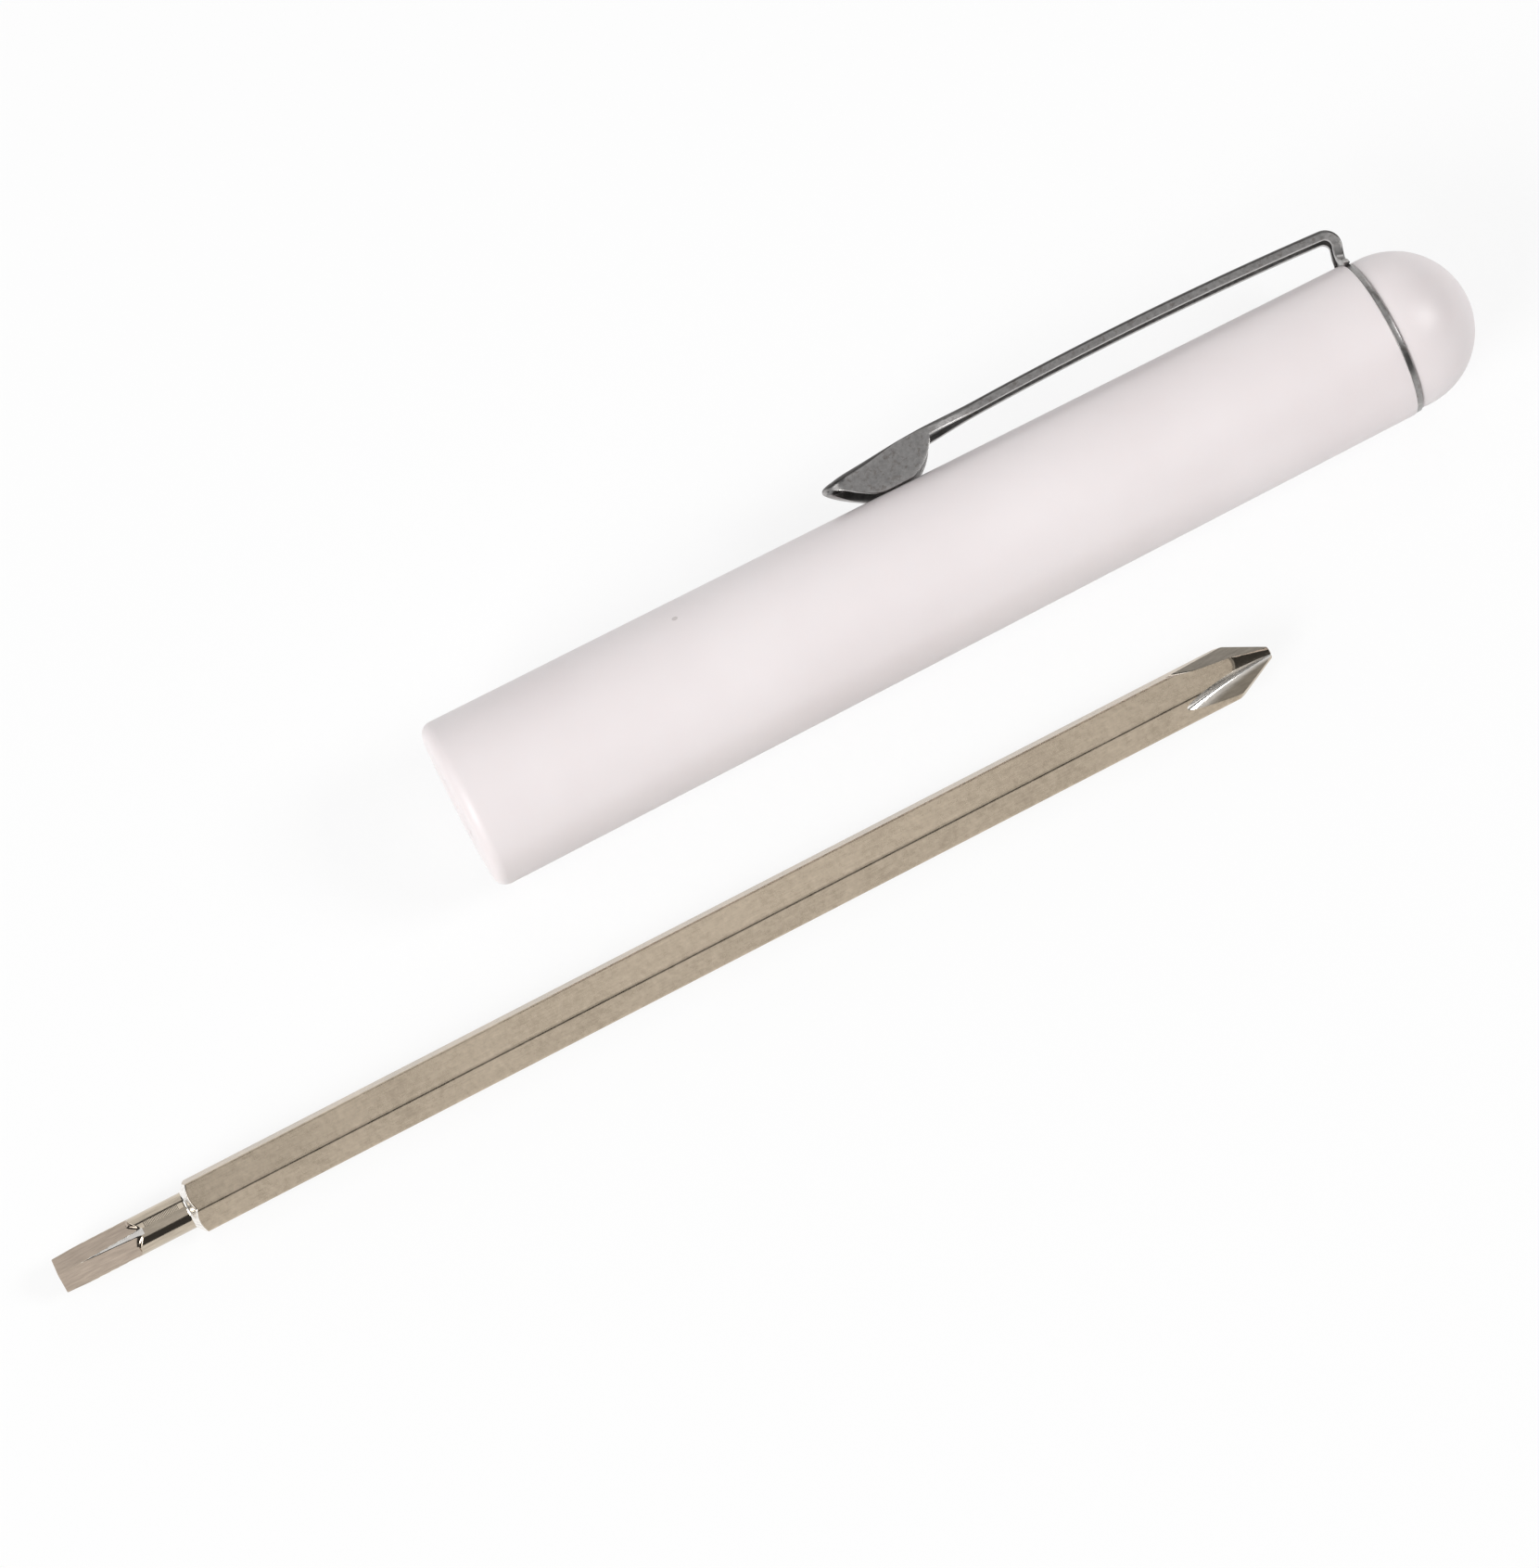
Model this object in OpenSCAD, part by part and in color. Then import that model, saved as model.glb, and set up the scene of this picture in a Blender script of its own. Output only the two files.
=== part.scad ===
/* [Handle] */
// Length of the barrel, from the open end to the clip's washer
barrel_len = 93.5; // [85:0.1:120]
// Diameter of the barrel at the open end
barrel_d_open = 16.2; // [15.6:0.1:20]
// Diameter of the barrel at the washer
barrel_d_cap = 15.1; // [14.9:0.1:15.6]
// Radius of the rim around the open end
rim_r = 1.2; // [0.5:0.1:2.2]
// Radius of the barrel's small edge at the washer
edge_r = 0.15; // [0.05:0.01:0.25]
// Diameter of the cap
cap_d = 14.6; // [14.2:0.1:14.8]
// Length of the cap's skirt between the washer and the dome
skirt_len = 1.1; // [0.4:0.1:3]
// Radius of the cap's small edge at the washer
cap_edge_r = 0.25; // [0.1:0.01:0.3]

/* [Inside of the handle] */
// Play between the blade and the socket, across the flats
socket_play = 0.1; // [0.04:0.01:0.3]
// Width of the small bevel around the mouth of the socket
mouth_bevel = 0.3; // [0.1:0.05:0.5]
// Wall of the tube that holds the socket, at the socket's corners
tube_wall = 1.4; // [0.8:0.1:1.6]
// Thickness of the ribs that carry the tube
rib_t = 1.2; // [0.8:0.1:2]
// Number of ribs around the tube
rib_count = 4; // [3:1:6]
// Thickness of the wall at the open end
end_wall = 2.4; // [1.6:0.1:4]
// Diameter of the hollow at the open end
hollow_d_open = 11.4; // [10.8:0.1:11.6]
// Diameter of the hollow at the plug
hollow_d_plug = 11.2; // [10.8:0.1:11.4]
// Diameter of the cap's plug
plug_d = 11.6; // [11.5:0.1:12]
// Length of the plug inside the barrel
plug_len = 6; // [4:0.1:12]
// Diameter of the post in the middle of the plug, which stops the blade
post_d = 6; // [5.8:0.1:6.6]
// Wall of the plug outside its groove
plug_wall = 1.5; // [1:0.1:1.8]
// Depth of the groove past the washer, into the dome
groove_past = 2; // [0.5:0.1:3.5]

/* [Clip] */
// Thickness of the clip's sheet
sheet = 0.55; // [0.4:0.05:0.6]
// Angle of the clip around the handle, from straight up towards the back
clip_angle = 76.5; // [40:0.5:90]
// How far the washer's edge lies below the surface of the barrel
washer_inset = 0.08; // [0:0.01:0.15]
// Play between the washer and the plug, on the diameter
washer_play = 0.2; // [0.1:0.05:0.4]
// Width of the tab that rises from the washer
tab_w = 2.6; // [2:0.1:2.8]
// Angle at which the tab leans out over the cap
tab_lean = 18; // [4:1:20]
// Inside radius of the bend between the tab and the arm
bend_r = 1; // [0.8:0.05:2]
// Length of the clip, from the washer to the nose
clip_len = 51.3; // [40:0.1:70]
// Height of the arm's back above the barrel, where the arm bows out most
arm_height = 4.2; // [4:0.1:6]
// Distance from the washer to the place where the arm bows out most
arm_crest = 22.7; // [15:0.1:35]
// Radius of the arm's bow
arm_bow_r = 370; // [300:5:900]
// Width of the arm
arm_w = 2.8; // [2.4:0.1:3.4]
// Depth of the arm's side flanges, with the sheet
flange_depth = 0.9; // [0.8:0.05:1.2]

/* [Foot of the clip] */
// Length of the foot, from the nose to the heel
foot_len = 10.8; // [10:0.1:14]
// Width of the foot
foot_w = 5.2; // [4:0.1:6]
// Radius of the long edges of the foot's back
foot_round = 1.4; // [0.8:0.1:1.9]
// Gap between the foot and the barrel
foot_gap = 0.12; // [0.05:0.01:0.3]
// Depth of the rim at the nose
nose_depth = 0.25; // [0.25:0.05:1]
// Angle at which the rim drops from the nose
toe_angle = 33; // [30:1:45]
// Radius of the rim where it turns along the barrel
ball_r = 3.5; // [2:0.1:4]
// Angle at which the rim rises at the heel
heel_angle = 52; // [45:1:70]
// Radius of the rim where it rises at the heel
heel_r = 2; // [1:0.1:2.4]
// Length over which the foot narrows to the arm
shoulder_len = 2.3; // [1.5:0.1:3]

/* [Blade] */
// Width of the bar across its flats
blade_af = 4.7625; // [4.5:0.0125:5]
// Length of the bar from tip to tip
blade_len = 121.6; // [100:0.1:160]
// How far the drawn edges of the bar are rounded off, at each corner
corner_cut = 0.05; // [0.03:0.01:0.12]
// Gap between the barrel and the blade that lies beside it
blade_gap = 9.3; // [4:0.1:30]
// How far the blade's square tip lies beyond the open end
blade_beyond = 50.4; // [20:0.1:60]

/* [Phillips tip] */
// Half of the point's angle
point_angle = 26.5; // [24:0.5:30]
// Diameter of the blunt end
blunt_d = 1.1; // [0.9:0.05:1.4]
// Radius of the grinding wheel that leaves the flutes
flute_wheel_r = 35.5; // [20:0.5:50]
// How far the lowest point of the wheel lies beyond the tip
flute_wheel_beyond = 2.8; // [1:0.1:5]
// Depth of metal between the lowest point of the wheel and the axis
flute_web = 0.33; // [0.2:0.01:0.5]
// Half of the angle between the walls of a flute
flute_angle = 46; // [44:0.5:50]

/* [Square tip] */
// Width of the square at its end
square_w = 2.3; // [2.2:0.05:2.6]
// Taper of each flat
square_taper = 1.8; // [1:0.1:3]
// Length of the flats, up to their run-out
square_len = 7.1; // [6:0.1:9]
// Length of the curved run-out behind each flat
runout_len = 1.2; // [0.8:0.1:2]
// Diameter of the round neck
neck_d = 3.5; // [3.3:0.05:4]
// Distance from the square's end to the full hexagon
neck_len = 13.5; // [11:0.1:18]
// Angle of the shoulder cone, from the axis
shoulder_angle = 54; // [40:1:65]
// Turn of the square on the bar, from the face that points up
square_turn = 60; // [0:5:60]

/* [Hidden] */
$fn = 96;

// Overrun of every cut past the surface that it opens
cut = 1;
// Steps of a computed arc
arc_steps = 14;

// The barrel's taper, and how far the handle's axis drops as it lies on its side
barrel_r_open = barrel_d_open / 2;
barrel_r_cap = barrel_d_cap / 2;
lie_tilt = atan((barrel_r_open - barrel_r_cap) / barrel_len);
floor_z = -barrel_r_open * cos(lie_tilt);

// Radius of the barrel at a distance from the open end
function barrel_r(x) = barrel_r_open - x * tan(lie_tilt);

// The bar, the socket that fits it and the tube around the socket
blade_corner_r = blade_af / 2 / cos(30) - corner_cut;
socket_af = blade_af + socket_play;
socket_corner_r = socket_af / 2 / cos(30);
tube_r = socket_corner_r + tube_wall;
plug_end_x = barrel_len - plug_len;
cap_x = barrel_len + sheet;

// The arm's back is an arc with its centre far below the handle
crest_x = barrel_len - arm_crest;
bow_z = barrel_r(crest_x) + arm_height - arm_bow_r;
nose_x = barrel_len - clip_len;
heel_x = nose_x + foot_len;
washer_r = barrel_r(cap_x) - washer_inset;

// The bend's centre: level with the tab's lean at one end, and with the arm's bow at the other
bend_out_r = bend_r + sheet;
bend_from = [cap_x - bend_out_r * cos(tab_lean) - crest_x, washer_r + bend_out_r * sin(tab_lean) - bow_z];
bend_up = bend_from * [sin(tab_lean), cos(tab_lean)];
tab_rise = sqrt(pow(bend_up, 2) - bend_from * bend_from + pow(arm_bow_r - bend_out_r, 2)) - bend_up;
bend_x = crest_x + bend_from[0] + tab_rise * sin(tab_lean);
bend_z = bow_z + bend_from[1] + tab_rise * cos(tab_lean);
// Where the bend meets the arm, as an angle around both centres
bend_end = atan2(bend_z - bow_z, bend_x - crest_x);
// Where the flanges begin, just past the bend
flange_x = bend_x - bend_r / 2;

// Height of the arm's back, and of a face at a depth below it
function back_z(x, depth = 0) = bow_z + sqrt(pow(arm_bow_r - depth, 2) - pow(x - crest_x, 2));
// Points along such a face, between two places on the handle
function back_line(x0, x1, depth = 0) =
    [for (i = [0 : arc_steps]) let (x = x0 + (x1 - x0) * i / arc_steps) [x, back_z(x, depth)]];
// Points of an arc from one angle to another
function arc(x, z, r, a0, a1) =
    [for (i = [0 : arc_steps]) let (a = a0 + (a1 - a0) * i / arc_steps) [x + r * cos(a), z + r * sin(a)]];

// The foot: its ears end just above the barrel
ear_inside = foot_w / 2 - sheet;
ear_z = sqrt(pow(barrel_r(nose_x + foot_len / 2), 2) - pow(ear_inside, 2)) + foot_gap;
// The toe drops straight from the nose, until the ball's arc takes over
toe_z = ear_z + ball_r * (1 - cos(toe_angle));
ball_x = nose_x + (back_z(nose_x) - nose_depth - toe_z) / tan(toe_angle) + ball_r * sin(toe_angle);
// The heel's arc ends where a straight rise to the arm's flanges begins
heel_rise_z = ear_z + heel_r * (1 - cos(heel_angle));
heel_top_z = back_z(heel_x) - flange_depth;
heel_turn_x = heel_x - (heel_top_z - heel_rise_z) / tan(heel_angle) - heel_r * sin(heel_angle);
// The straight line under the foot's back, from the nose to the heel
foot_pitch = atan((back_z(heel_x) - back_z(nose_x)) / foot_len);

// The blade's place beside the handle
blade_y = -(barrel_r_open + blade_gap + blade_corner_r);
blade_z = floor_z + blade_af / 2;
// Depth of the square's flats, and of the shoulder cone
square_root_w = square_w + 2 * square_len * tan(square_taper);
shoulder_len_x = (blade_corner_r - neck_d / 2) / tan(shoulder_angle);

// Lays the handle on its side, so that the barrel's lowest line is level
module lie() {
    rotate([0, lie_tilt, 0]) children();
}

// Turns the clip around the handle
module at_clip() {
    lie() rotate([-clip_angle, 0, 0]) children();
}

// Turns a profile of radius and height around the handle's axis
module turned() {
    rotate([0, 90, 0]) rotate_extrude() children();
}

// A side outline in X and Z, made as wide as w
module wide(w) {
    rotate([90, 0, 0]) linear_extrude(w, center = true) children();
}

// A quarter of a round edge, to be taken from a corner at the origin
module edge_cut(r) {
    difference() {
        translate([-r, -r]) square(r + cut);
        translate([-r, -r]) circle(r);
    }
}

// The barrel's outside: a taper with a round rim and a small edge at the washer
module barrel_outline() {
    difference() {
        polygon([[0, 0], [barrel_r_open, 0], [barrel_r_cap, barrel_len], [0, barrel_len]]);
        translate([barrel_r_open, 0]) rotate([0, 0, lie_tilt]) mirror([0, 1]) edge_cut(rim_r);
        translate([barrel_r_cap, barrel_len]) edge_cut(edge_r);
    }
}

// The hollow round the tube, cored out from the cap's end
module hollow_sector() {
    difference() {
        rotate_extrude()
            polygon([[0, end_wall], [hollow_d_open / 2, end_wall],
                [hollow_d_plug / 2, plug_end_x], [0, plug_end_x]]);
        cylinder(h = barrel_len, r = tube_r);
        for (i = [0 : rib_count - 1])
            rotate([0, 0, i * 360 / rib_count])
                translate([0, -rib_t / 2, 0]) cube([barrel_r_open, rib_t, barrel_len]);
    }
}

module barrel() {
    color("seashell") lie() difference() {
        turned() barrel_outline();
        rotate([0, 90, 0]) {
            hollow_sector();
            // The socket, with its flats like the blade's
            translate([0, 0, -cut]) cylinder(h = barrel_len + cut, r = socket_corner_r, $fn = 6);
            // The bevel around its mouth
            translate([0, 0, -cut])
                cylinder(h = cut + mouth_bevel, r1 = socket_corner_r + mouth_bevel + cut, r2 = socket_corner_r);
            // The seat of the cap's plug
            translate([0, 0, plug_end_x]) cylinder(h = plug_len + cut, d = plug_d);
        }
    }
}

// The cap's dome and skirt
module dome_outline() {
    dome_x = cap_x + skirt_len;
    difference() {
        union() {
            translate([0, cap_x]) square([cap_d / 2, skirt_len]);
            translate([0, dome_x]) intersection() {
                circle(d = cap_d);
                square(cap_d / 2);
            }
        }
        translate([cap_d / 2, cap_x]) mirror([0, 1]) edge_cut(cap_edge_r);
    }
}

module end_cap() {
    color("seashell") lie() difference() {
        union() {
            turned() dome_outline();
            rotate([0, 90, 0]) translate([0, 0, plug_end_x])
                cylinder(h = cap_x - plug_end_x + cap_edge_r, d = plug_d);
        }
        // The groove that keeps the plug's walls even
        rotate([0, 90, 0]) translate([0, 0, plug_end_x - cut]) difference() {
            cylinder(h = cut + cap_x + groove_past - plug_end_x, r = plug_d / 2 - plug_wall);
            cylinder(h = cut + cap_x + groove_past - plug_end_x, d = post_d);
        }
    }
}

// The tab from the side: it rises in the washer's plane, then leans out over the cap
module tab_outline() {
    lean = [sin(tab_lean), cos(tab_lean)];
    across = [cos(tab_lean), -sin(tab_lean)];
    bend_at = [bend_x, bend_z];
    polygon([[barrel_len, washer_r - sheet], [cap_x, washer_r - sheet], [cap_x, washer_r],
        bend_at + bend_out_r * across, bend_at + bend_r * across,
        [barrel_len, washer_r + sheet * tan(tab_lean / 2)]]);
}

module clip_ring() {
    color("dimgray") at_clip() difference() {
        union() {
            rotate([0, 90, 0]) translate([0, 0, barrel_len]) cylinder(h = sheet, r = washer_r);
            wide(tab_w) tab_outline();
        }
        rotate([0, 90, 0]) translate([0, 0, barrel_len - cut])
            cylinder(h = sheet + 2 * cut, d = plug_d + washer_play);
    }
}

// The bend above the tab, from the split face to the arm
module bend_outline() {
    polygon(concat(arc(bend_x, bend_z, bend_out_r, -tab_lean, bend_end),
        arc(bend_x, bend_z, bend_r, bend_end, -tab_lean)));
}

// A strip of the arm between two places, as deep as asked
module arm_strip(x0, x1, depth) {
    polygon(concat(back_line(x0, x1), back_line(x1, x0, depth)));
}

// The foot from the side, below its back: toe, ball and heel
module foot_outline() {
    top_z = back_z(crest_x) + sheet;
    polygon(concat([[nose_x, top_z], [heel_x, top_z], [heel_x, heel_top_z]],
        arc(heel_turn_x, ear_z + heel_r, heel_r, heel_angle - 90, -90),
        arc(ball_x, ear_z + ball_r, ball_r, -90, -90 - toe_angle),
        [[nose_x, back_z(nose_x) - nose_depth]]));
}

// The foot from above, drawn in by an inset: round nose, straight sides, narrow heel
module foot_plan(inset = 0, past = 0) {
    half_w = foot_w / 2 - inset;
    half_arm = arm_w / 2 - inset;
    shoulder_x = heel_x - shoulder_len;
    // The sides swing in to the arm along a half wave
    side = [for (i = [0 : arc_steps]) let (t = i / arc_steps)
        [shoulder_x + shoulder_len * t, half_arm + (half_w - half_arm) * (1 + cos(180 * t)) / 2]];
    polygon(concat(
        arc(nose_x + foot_w / 2, 0, half_w, 180, 90),
        side,
        [[heel_x + past, half_arm], [heel_x + past, -half_arm]],
        [for (i = [arc_steps : -1 : 0]) [side[i][0], -side[i][1]]],
        arc(nose_x + foot_w / 2, 0, half_w, -90, -180)));
}

// The foot end on, drawn in by an inset: a flat back with round long edges
module foot_arch(inset = 0) {
    half_w = foot_w / 2 - inset;
    r = foot_round - inset;
    deep = arm_height + foot_w;
    translate([nose_x, 0, back_z(nose_x)]) rotate([0, -foot_pitch, 0])
        translate([-foot_w, 0, 0]) rotate([90, 0, 90]) linear_extrude(foot_len + 2 * foot_w) {
            translate([-half_w, -deep]) square([2 * half_w, deep - inset - r]);
            translate([r - half_w, -deep]) square([2 * (half_w - r), deep - inset]);
            for (side = [-1, 1])
                translate([side * (half_w - r), -inset - r]) circle(r);
        }
}

module foot() {
    difference() {
        intersection() {
            wide(foot_w + cut) foot_outline();
            linear_extrude(back_z(crest_x) + cut) foot_plan();
            foot_arch();
        }
        // The hollow under the back, between the ears
        intersection() {
            linear_extrude(back_z(crest_x) + cut) foot_plan(sheet, cut);
            foot_arch(sheet);
        }
    }
}

module clip_arm() {
    color("dimgray") at_clip() {
        wide(tab_w) bend_outline();
        wide(arm_w) arm_strip(heel_x - shoulder_len / 2, bend_x + bend_out_r * cos(bend_end), sheet);
        for (side = [-1, 1])
            translate([0, side * (arm_w - sheet) / 2, 0])
                wide(sheet) arm_strip(heel_x - sheet, flange_x, flange_depth);
        foot();
    }
}

// The V-shaped wheel that cuts a flute: its edge is where the walls meet
module flute_wheel() {
    reach = blade_af;
    rotate([90, 0, 0]) rotate_extrude()
        polygon([[flute_wheel_r, 0], [flute_wheel_r - reach, reach * tan(flute_angle)],
            [0, reach * tan(flute_angle)], [0, -reach * tan(flute_angle)],
            [flute_wheel_r - reach, -reach * tan(flute_angle)]]);
}

// The bar along X, with its square tip at zero and one face up
module bar() {
    point_len = (blade_corner_r - blunt_d / 2) / tan(point_angle);
    intersection() {
        rotate([0, 90, 0]) rotate([0, 0, 30]) cylinder(h = blade_len, d = blade_af / cos(30), $fn = 6);
        turned() polygon([[0, 0], [neck_d / 2, 0], [neck_d / 2, neck_len - shoulder_len_x],
            [blade_corner_r, neck_len], [blade_corner_r, blade_len - point_len],
            [blunt_d / 2, blade_len], [0, blade_len]]);
    }
}

// The metal that is ground away to leave one flat of the square
module flat_cut() {
    root = square_root_w / 2;
    // The run-out is an arc that starts level with the flat and ends outside the neck
    rise = neck_d / 2 + cut - root;
    wide(neck_d + cut) polygon(concat(
        [[-cut, neck_d / 2 + cut], [-cut, square_w / 2 - cut * tan(square_taper)], [square_len, root]],
        [for (i = [1 : arc_steps]) let (t = i / arc_steps)
            [square_len + runout_len * sin(90 * t), root + rise * (1 - cos(90 * t))]]));
}

module blade() {
    color("tan") translate([-blade_beyond, blade_y, blade_z]) difference() {
        bar();
        for (i = [0 : 3])
            rotate([square_turn + i * 90, 0, 0]) flat_cut();
        for (i = [0 : 3])
            rotate([45 + i * 90, 0, 0])
                translate([blade_len + flute_wheel_beyond, 0, flute_web + flute_wheel_r])
                    flute_wheel();
    }
}

barrel();
end_cap();
clip_ring();
clip_arm();
blade();
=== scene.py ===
import math

import bmesh
import bpy
import numpy as np
from mathutils import Matrix, Vector


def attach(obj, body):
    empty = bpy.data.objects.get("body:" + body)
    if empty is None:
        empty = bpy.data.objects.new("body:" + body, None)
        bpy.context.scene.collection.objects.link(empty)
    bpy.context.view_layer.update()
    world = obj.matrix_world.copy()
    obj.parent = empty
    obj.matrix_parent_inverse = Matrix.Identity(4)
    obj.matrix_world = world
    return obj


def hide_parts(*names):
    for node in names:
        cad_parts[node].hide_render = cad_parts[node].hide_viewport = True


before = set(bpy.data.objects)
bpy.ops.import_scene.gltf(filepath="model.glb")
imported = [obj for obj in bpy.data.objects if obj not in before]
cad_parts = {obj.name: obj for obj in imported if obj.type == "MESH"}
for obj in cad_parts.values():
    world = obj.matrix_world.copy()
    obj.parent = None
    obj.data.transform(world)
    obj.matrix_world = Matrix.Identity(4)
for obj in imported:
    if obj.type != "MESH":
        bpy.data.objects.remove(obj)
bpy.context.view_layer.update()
scene = bpy.context.scene
MM = 0.001

# ---------------------------------------------------------------- camera
# A long lens, a good half metre above the table and tipped down at the tool, as the
# photograph was taken. Its directions are the picture's right, down and into the picture.
photo_w, photo_h = 1660, 1691
focal_px, film = 7169.3, 36
camera_at = Vector((-19.69, -232.52, 547.59)) * MM
look_right = Vector((0.88676, -0.44941, -0.10812))
look_down = Vector((-0.45589, -0.81171, -0.36508))
look_ahead = Vector((0.07631, 0.37303, -0.92468))

lens = bpy.data.cameras.new("camera")
lens.sensor_fit = "VERTICAL"
lens.sensor_width = lens.sensor_height = film
lens.lens = focal_px / max(photo_w, photo_h) * film
lens.clip_start, lens.clip_end = 0.01, 20
camera = bpy.data.objects.new("camera", lens)
turn = Matrix((look_right, -look_down, -look_ahead)).transposed().to_4x4()
camera.matrix_world = Matrix.Translation(camera_at) @ turn
scene.collection.objects.link(camera)
scene.camera = camera

# ---------------------------------------------------------------- table and light
# A white table top under soft boxes on both sides, above and behind, as in a small
# product studio. What the camera sees of the table is close to paper white.
floor_z = -8.09986 * MM
table_size = 6
table_glow, room_glow, room_in_metal = 0.84, 0.02, 0.04


class Socket:
    """A shader socket that takes + - * / and > between sockets and numbers."""

    def __init__(self, tree, out):
        self.tree, self.out = tree, out

    def _maths(self, operation, a, b):
        return self.make("ShaderNodeMath", {0: a, 1: b}, {"operation": operation})

    def __add__(self, other):
        return self._maths("ADD", self, other)

    def __sub__(self, other):
        return self._maths("SUBTRACT", self, other)

    def __rsub__(self, other):
        return self._maths("SUBTRACT", other, self)

    def __mul__(self, other):
        return self._maths("MULTIPLY", self, other)

    def __truediv__(self, other):
        return self._maths("DIVIDE", self, other)

    def __rtruediv__(self, other):
        return self._maths("DIVIDE", other, self)

    def __gt__(self, other):
        return self._maths("GREATER_THAN", self, other)

    __radd__, __rmul__ = __add__, __mul__

    def make(self, kind, sockets=None, settings=None, output=0):
        """Adds a node: its settings first, then the values or links of its sockets."""
        node = self.tree.nodes.new(kind)
        for name, value in (settings or {}).items():
            if name == "stops":
                ramp = node.color_ramp
                while len(ramp.elements) < len(value):
                    ramp.elements.new(1)
                for element, (at, colour) in zip(ramp.elements, value):
                    element.position, element.color = at, colour
            else:
                setattr(node, name, value)
        for name, value in (sockets or {}).items():
            if isinstance(value, Socket):
                self.tree.links.new(value.out, node.inputs[name])
            else:
                node.inputs[name].default_value = value
        return Socket(self.tree, node.outputs[output] if node.outputs else None)


def empty_tree(owner):
    owner.use_nodes = True
    owner.node_tree.nodes.clear()
    return Socket(owner.node_tree, None)


def material(name):
    made = bpy.data.materials.new(name)
    return made, empty_tree(made)


def grey(value):
    return (value, value, value, 1)


table_white, t = material("table_white")
by_camera = t.make("ShaderNodeLightPath", output="Is Camera Ray")
by_gloss = t.make("ShaderNodeLightPath", output="Is Glossy Ray")
paper = t.make("ShaderNodeBsdfDiffuse", {"Color": grey(0.88), "Roughness": 0.5})
glow = t.make("ShaderNodeEmission", {"Color": grey(1), "Strength": 1.0})
top = t.make(
    "ShaderNodeMixShader", {0: (by_camera + by_gloss) * table_glow, 1: paper, 2: glow}
)
t.make("ShaderNodeOutputMaterial", {"Surface": top})

mesh = bpy.data.meshes.new("table_top")
corners = ((-1, -1), (1, -1), (1, 1), (-1, 1))
mesh.from_pydata(
    [(x * table_size, y * table_size, floor_z) for x, y in corners], [], [(0, 1, 2, 3)]
)
mesh.materials.append(table_white)
table = bpy.data.objects.new("table_top", mesh)
scene.collection.objects.link(table)

world = bpy.data.worlds.new("studio")
t = empty_tree(world)
by_camera = t.make("ShaderNodeLightPath", output="Is Camera Ray")
by_gloss = t.make("ShaderNodeLightPath", output="Is Glossy Ray")
air = t.make("ShaderNodeBackground", {"Color": grey(1), "Strength": room_glow})
backdrop = t.make("ShaderNodeBackground", {"Color": grey(1), "Strength": 1.0})
room = t.make(
    "ShaderNodeMixShader", {0: by_camera + by_gloss * room_in_metal, 1: air, 2: backdrop}
)
t.make("ShaderNodeOutputWorld", {"Surface": room})
scene.world = world
scene.view_settings.view_transform = "Standard"

# Each soft box's place and size in metres, its watts, and what it is aimed at
at_tool = (0.03, -0.01, 0)
soft_boxes = {
    "left": ((-0.80, -0.42, 0.50), (0.5, 0.5), 8.2, at_tool),
    "right": ((0.73, -0.31, 0.69), (0.35, 0.35), 4.6, at_tool),
    "back_left": ((-0.85, 0.30, 0.55), (0.5, 0.5), 2.0, at_tool),
    "back_right": ((0.70, 0.85, 0.45), (0.5, 0.5), 1.3, at_tool),
    "above": ((0.08, 0.46, 1.0), (0.38, 0.74), 0.93, (0.08, 0.46, 0)),
    "front": ((0.0, -0.49, 1.0), (1.5, 1.14), 3.0, (0.0, -0.49, 0)),
    "far_right": ((0.80, 0.10, 1.0), (1.0, 1.2), 1.1, (0.80, 0.10, 0)),
    "behind": ((0.20, 1.2, 0.48), (1.5, 0.96), 3.6, (0.20, 0, 0.48)),
}
for name, (place, size, watts, aim) in soft_boxes.items():
    lamp = bpy.data.lights.new("soft_box_" + name, "AREA")
    lamp.shape, lamp.size, lamp.size_y = "RECTANGLE", size[0], size[1]
    lamp.energy = watts
    box = bpy.data.objects.new("soft_box_" + name, lamp)
    box.location = place
    box.rotation_euler = (Vector(aim) - Vector(place)).to_track_quat("-Z", "Y").to_euler()
    box.visible_camera = False
    scene.collection.objects.link(box)

# ---------------------------------------------------------------- white plastic
# The grip and its cap are moulded in one warm white plastic with a satin skin: a touch
# uneven in colour, with a few specks, fine pores and faint rubbed patches.


def noise(place, scale, detail, roughness=0.5):
    """Noise in lumps of about a metre over the scale."""
    sizes = {"Vector": place, "Scale": scale, "Detail": detail, "Roughness": roughness}
    return place.make("ShaderNodeTexNoise", sizes)


def ramp(share, *stops):
    return share.make("ShaderNodeValToRGB", {"Fac": share}, {"stops": stops})


def mixed(share, under, over):
    """A colour over another, by a share from 0 to 1."""
    colours = {0: share, 6: under, 7: over}
    return share.make("ShaderNodeMix", colours, {"data_type": "RGBA"}, output=2)


def relief(height, strength, depth):
    sizes = {"Height": height, "Strength": strength, "Distance": depth}
    return height.make("ShaderNodeBump", sizes)


def surface(t, **values):
    """Ends a material with its shader, from values by the sockets' names."""
    sockets = {name.replace("_", " "): value for name, value in values.items()}
    shader = t.make("ShaderNodeBsdfPrincipled", sockets)
    t.make("ShaderNodeOutputMaterial", {"Surface": shader})


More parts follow.
